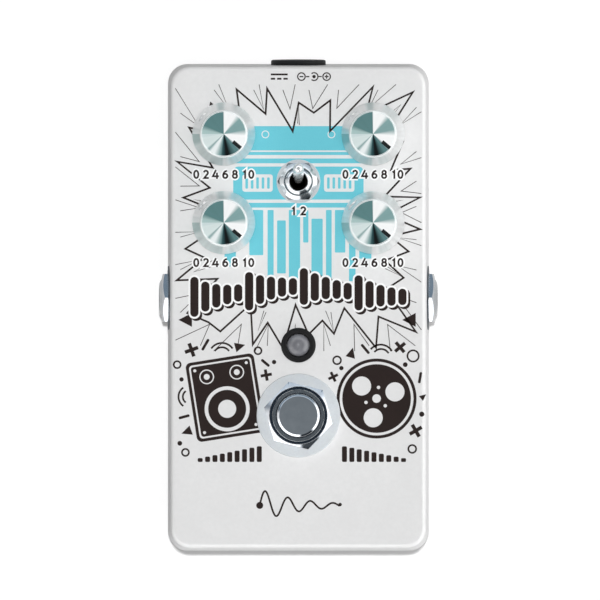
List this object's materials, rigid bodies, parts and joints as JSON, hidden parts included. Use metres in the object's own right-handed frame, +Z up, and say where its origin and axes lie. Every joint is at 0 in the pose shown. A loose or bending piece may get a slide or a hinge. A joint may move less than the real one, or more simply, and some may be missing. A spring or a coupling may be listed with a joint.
{
  "type": "tape echo pedal",
  "caption": "Compact die-cast guitar effect pedal with turned metal knobs, a toggle switch, an indicator lamp, a latching footswitch, side jacks and a rear power socket.",
  "frame": {"origin": "centre of the enclosure's footprint, on the surface that the rubber feet stand on", "axes": "+X towards the input jack, +Y towards the power socket, +Z up out of the panel"},
  "size_m": [0.0642, 0.1131, 0.0496],
  "materials": {
    "white_paint": "satin powder coat",
    "zinc_steel": "zinc plated",
    "nickel_steel": "nickel plated",
    "spring_steel": "bright drawn wire",
    "nickel_plate": "bright nickel plate",
    "chrome_plate": "polished",
    "knob_aluminium": "polished side, spun face",
    "shaft_aluminium": "turned",
    "black_rubber": "matt",
    "green_moulding": "moulded",
    "blue_moulding": "moulded",
    "black_moulding": "moulded",
    "tan_laminate": "pressed laminate",
    "white_nylon": "moulded",
    "grey_lens": "clear smoked",
    "tinned_brass": "tinned",
    "contact_brass": "silvered",
    "spring_brass": "rolled",
    "board_laminate": "solder resist",
    "chip_epoxy": "moulded",
    "capacitor_can": "drawn",
    "red_film": "dipped",
    "grey_ribbon": "extruded",
    "wire_insulation": "extruded"
  },
  "bodies": {
    "enclosure": {"enclosure_shell": "white_paint", "base_plate": "white_paint", "base_screws": "zinc_steel", "rubber_feet": "black_rubber", "pot_brackets": "zinc_steel", "pot_cases": "green_moulding", "pot_terminals": "tinned_brass", "pot_nuts": "nickel_steel", "toggle_bushing": "nickel_plate", "toggle_frame": "zinc_steel", "toggle_case": "blue_moulding", "toggle_terminals": "tinned_brass", "toggle_washer": "nickel_steel", "toggle_nut": "nickel_plate", "lamp_bezel": "black_moulding", "lamp_lens": "grey_lens", "lamp_leads": "tinned_brass", "footswitch_bushing": "nickel_plate", "footswitch_yoke": "zinc_steel", "footswitch_spring": "spring_steel", "footswitch_case": "blue_moulding", "footswitch_base": "tan_laminate", "footswitch_lugs": "tinned_brass", "footswitch_nylon_washer": "white_nylon", "footswitch_dress_nut": "chrome_plate", "footswitch_lock_washer": "zinc_steel", "footswitch_inner_nut": "nickel_steel", "jack_bushings": "nickel_plate", "input_jack_case": "black_moulding", "output_jack_case": "black_moulding", "jack_contacts": "spring_brass", "jack_washers": "nickel_steel", "jack_nuts": "chrome_plate", "power_socket_housing": "black_moulding", "power_socket_contacts": "spring_brass", "power_socket_nut": "black_moulding", "main_board": "board_laminate", "switch_board": "board_laminate", "board_chips": "chip_epoxy", "electrolytic_capacitors": "capacitor_can", "film_capacitors": "red_film", "board_resistors": "chip_epoxy", "board_headers": "white_nylon", "ribbon_cable": "grey_ribbon", "hookup_wires": "wire_insulation"},
    "repeats_control": {"repeats_knob": "knob_aluminium", "repeats_pot_shaft": "shaft_aluminium"},
    "time_control": {"time_knob": "knob_aluminium", "time_pot_shaft": "shaft_aluminium"},
    "blend_control": {"blend_knob": "knob_aluminium", "blend_pot_shaft": "shaft_aluminium"},
    "level_control": {"level_knob": "knob_aluminium", "level_pot_shaft": "shaft_aluminium"},
    "toggle_lever": {"toggle_lever": "chrome_plate"},
    "toggle_rocker": {"toggle_rocker": "contact_brass"},
    "footswitch_button": {"footswitch_button": "chrome_plate"},
    "footswitch_rocker": {"footswitch_rocker": "contact_brass"}
  },
  "joints": [
    {"name": "repeats_turn", "type": "hinge", "parent": "enclosure", "child": "repeats_control", "pos_m": [-0.01717, 0.0399, 0.033], "axis": [0, 0, 1], "range_deg": [-10, 270]},
    {"name": "time_turn", "type": "hinge", "parent": "enclosure", "child": "time_control", "pos_m": [0.01717, 0.0399, 0.033], "axis": [0, 0, 1], "range_deg": [-10, 270]},
    {"name": "blend_turn", "type": "hinge", "parent": "enclosure", "child": "blend_control", "pos_m": [-0.01717, 0.0195, 0.033], "axis": [0, 0, 1], "range_deg": [-10, 270]},
    {"name": "level_turn", "type": "hinge", "parent": "enclosure", "child": "level_control", "pos_m": [0.01717, 0.0195, 0.033], "axis": [0, 0, 1], "range_deg": [-10, 270]},
    {"name": "toggle_throw", "type": "hinge", "parent": "enclosure", "child": "toggle_lever", "pos_m": [0, 0.029, 0.0349], "axis": [1, 0, 0], "range_deg": [0, 25]},
    {"name": "toggle_contact_tilt", "type": "hinge", "parent": "enclosure", "child": "toggle_rocker", "pos_m": [0, 0.029, 0.02405], "axis": [1, 0, 0], "range_deg": [-18, 0]},
    {"name": "footswitch_press", "type": "slide", "parent": "enclosure", "child": "footswitch_button", "axis": [0, 0, -1], "range_m": [0, 0.0032], "stiffness_N_per_m": 1500, "springref_m": -0.003, "deforming": ["footswitch_spring"]},
    {"name": "footswitch_contact_tilt", "type": "hinge", "parent": "enclosure", "child": "footswitch_rocker", "pos_m": [0, -0.0249, 0.016], "axis": [1, 0, 0], "range_deg": [-18, 0]}
  ],
  "couplings": [
    {"joint": "toggle_contact_tilt", "follows": "toggle_throw", "ratio": -0.72}
  ]
}
